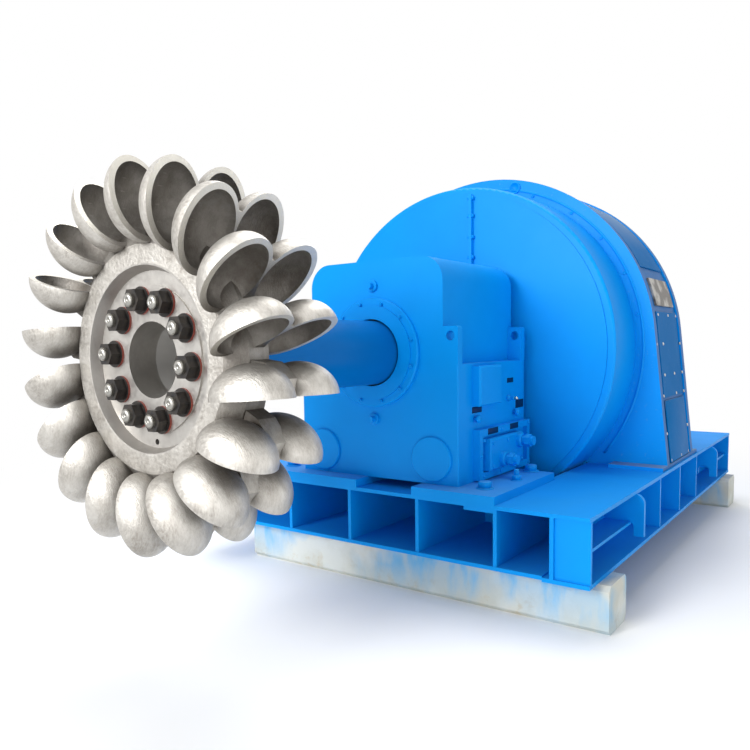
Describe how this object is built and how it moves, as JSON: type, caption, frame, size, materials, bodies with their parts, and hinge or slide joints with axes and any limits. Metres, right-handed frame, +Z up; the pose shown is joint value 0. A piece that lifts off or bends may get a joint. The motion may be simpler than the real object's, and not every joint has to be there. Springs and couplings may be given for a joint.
{
  "type": "hydroelectric generator set",
  "caption": "Horizontal hydro generator set: an overhung Pelton runner on a long shaft, box bearing housings, a round generator casing and a welded base with lifting hooks.",
  "frame": {"origin": "on the floor under the shaft axis, at the middle of the front sleeper's underside", "axes": "+X to the right seen from the runner's end, +Y back along the shaft from the runner to the generator, +Z up"},
  "size_m": [2.3805, 4.5298, 2.239],
  "materials": {
    "blue_paint": "gloss enamel",
    "blue_skin": "gloss enamel, darker",
    "cast_stainless": "cast and ground stainless steel",
    "dark_bolts": "black oxide nuts with bright stud ends",
    "shaft_steel": "painted shaft",
    "bush_metal": "bearing metal",
    "sleeper_block": "painted timber, worn"
  },
  "bodies": {
    "stator_frame": {"sleeper_front": "sleeper_block", "sleeper_rear": "sleeper_block", "deck_plate_front": "blue_paint", "deck_plate_rear": "blue_paint", "bottom_plate_front": "blue_paint", "bottom_plate_rear": "blue_paint", "cross_web_front": "blue_paint", "cross_web_rear": "blue_paint", "dividers_front": "blue_paint", "dividers_rear": "blue_paint", "side_rail_right": "blue_paint", "side_rail_left": "blue_paint", "lifting_hook_front_right": "blue_paint", "lifting_hook_front_left": "blue_paint", "lifting_hook_rear_right": "blue_paint", "lifting_hook_rear_left": "blue_paint", "sole_pad_front_left": "blue_paint", "sole_pad_front_right": "blue_paint", "sole_pad_rear_left": "blue_paint", "sole_pad_rear_right": "blue_paint", "housing_lower_front": "blue_paint", "housing_upper_front": "blue_paint", "housing_lower_rear": "blue_paint", "housing_upper_rear": "blue_paint", "seal_ring_front": "blue_paint", "seal_ring_inner_front": "blue_paint", "seal_ring_inner_rear": "blue_paint", "rear_end_cover": "blue_paint", "round_cover_left": "blue_paint", "round_cover_right": "blue_paint", "front_plugs": "blue_paint", "top_fittings": "blue_paint", "service_cover": "blue_paint", "oil_flange": "blue_paint", "pipe_unions": "blue_paint", "gauge_box": "blue_paint", "drum_front": "blue_paint", "drum_rear": "blue_paint", "drum_seam_flange": "blue_paint", "generator_casing": "blue_skin", "top_panel_right": "blue_skin", "top_panel_left": "blue_skin", "window_cover_right": "blue_skin", "window_cover_left": "blue_skin", "side_panel_right": "blue_skin", "side_panel_left": "blue_skin", "bearing_bush_front": "bush_metal", "bearing_bush_rear": "bush_metal"},
    "rotor": {"main_shaft": "shaft_steel", "pelton_runner": "cast_stainless", "runner_nuts": "dark_bolts"}
  },
  "joints": [
    {"name": "shaft_spin", "type": "hinge", "parent": "stator_frame", "child": "rotor", "pos_m": [0, 0, 1.186], "axis": [0, 1, 0], "continuous": true}
  ]
}
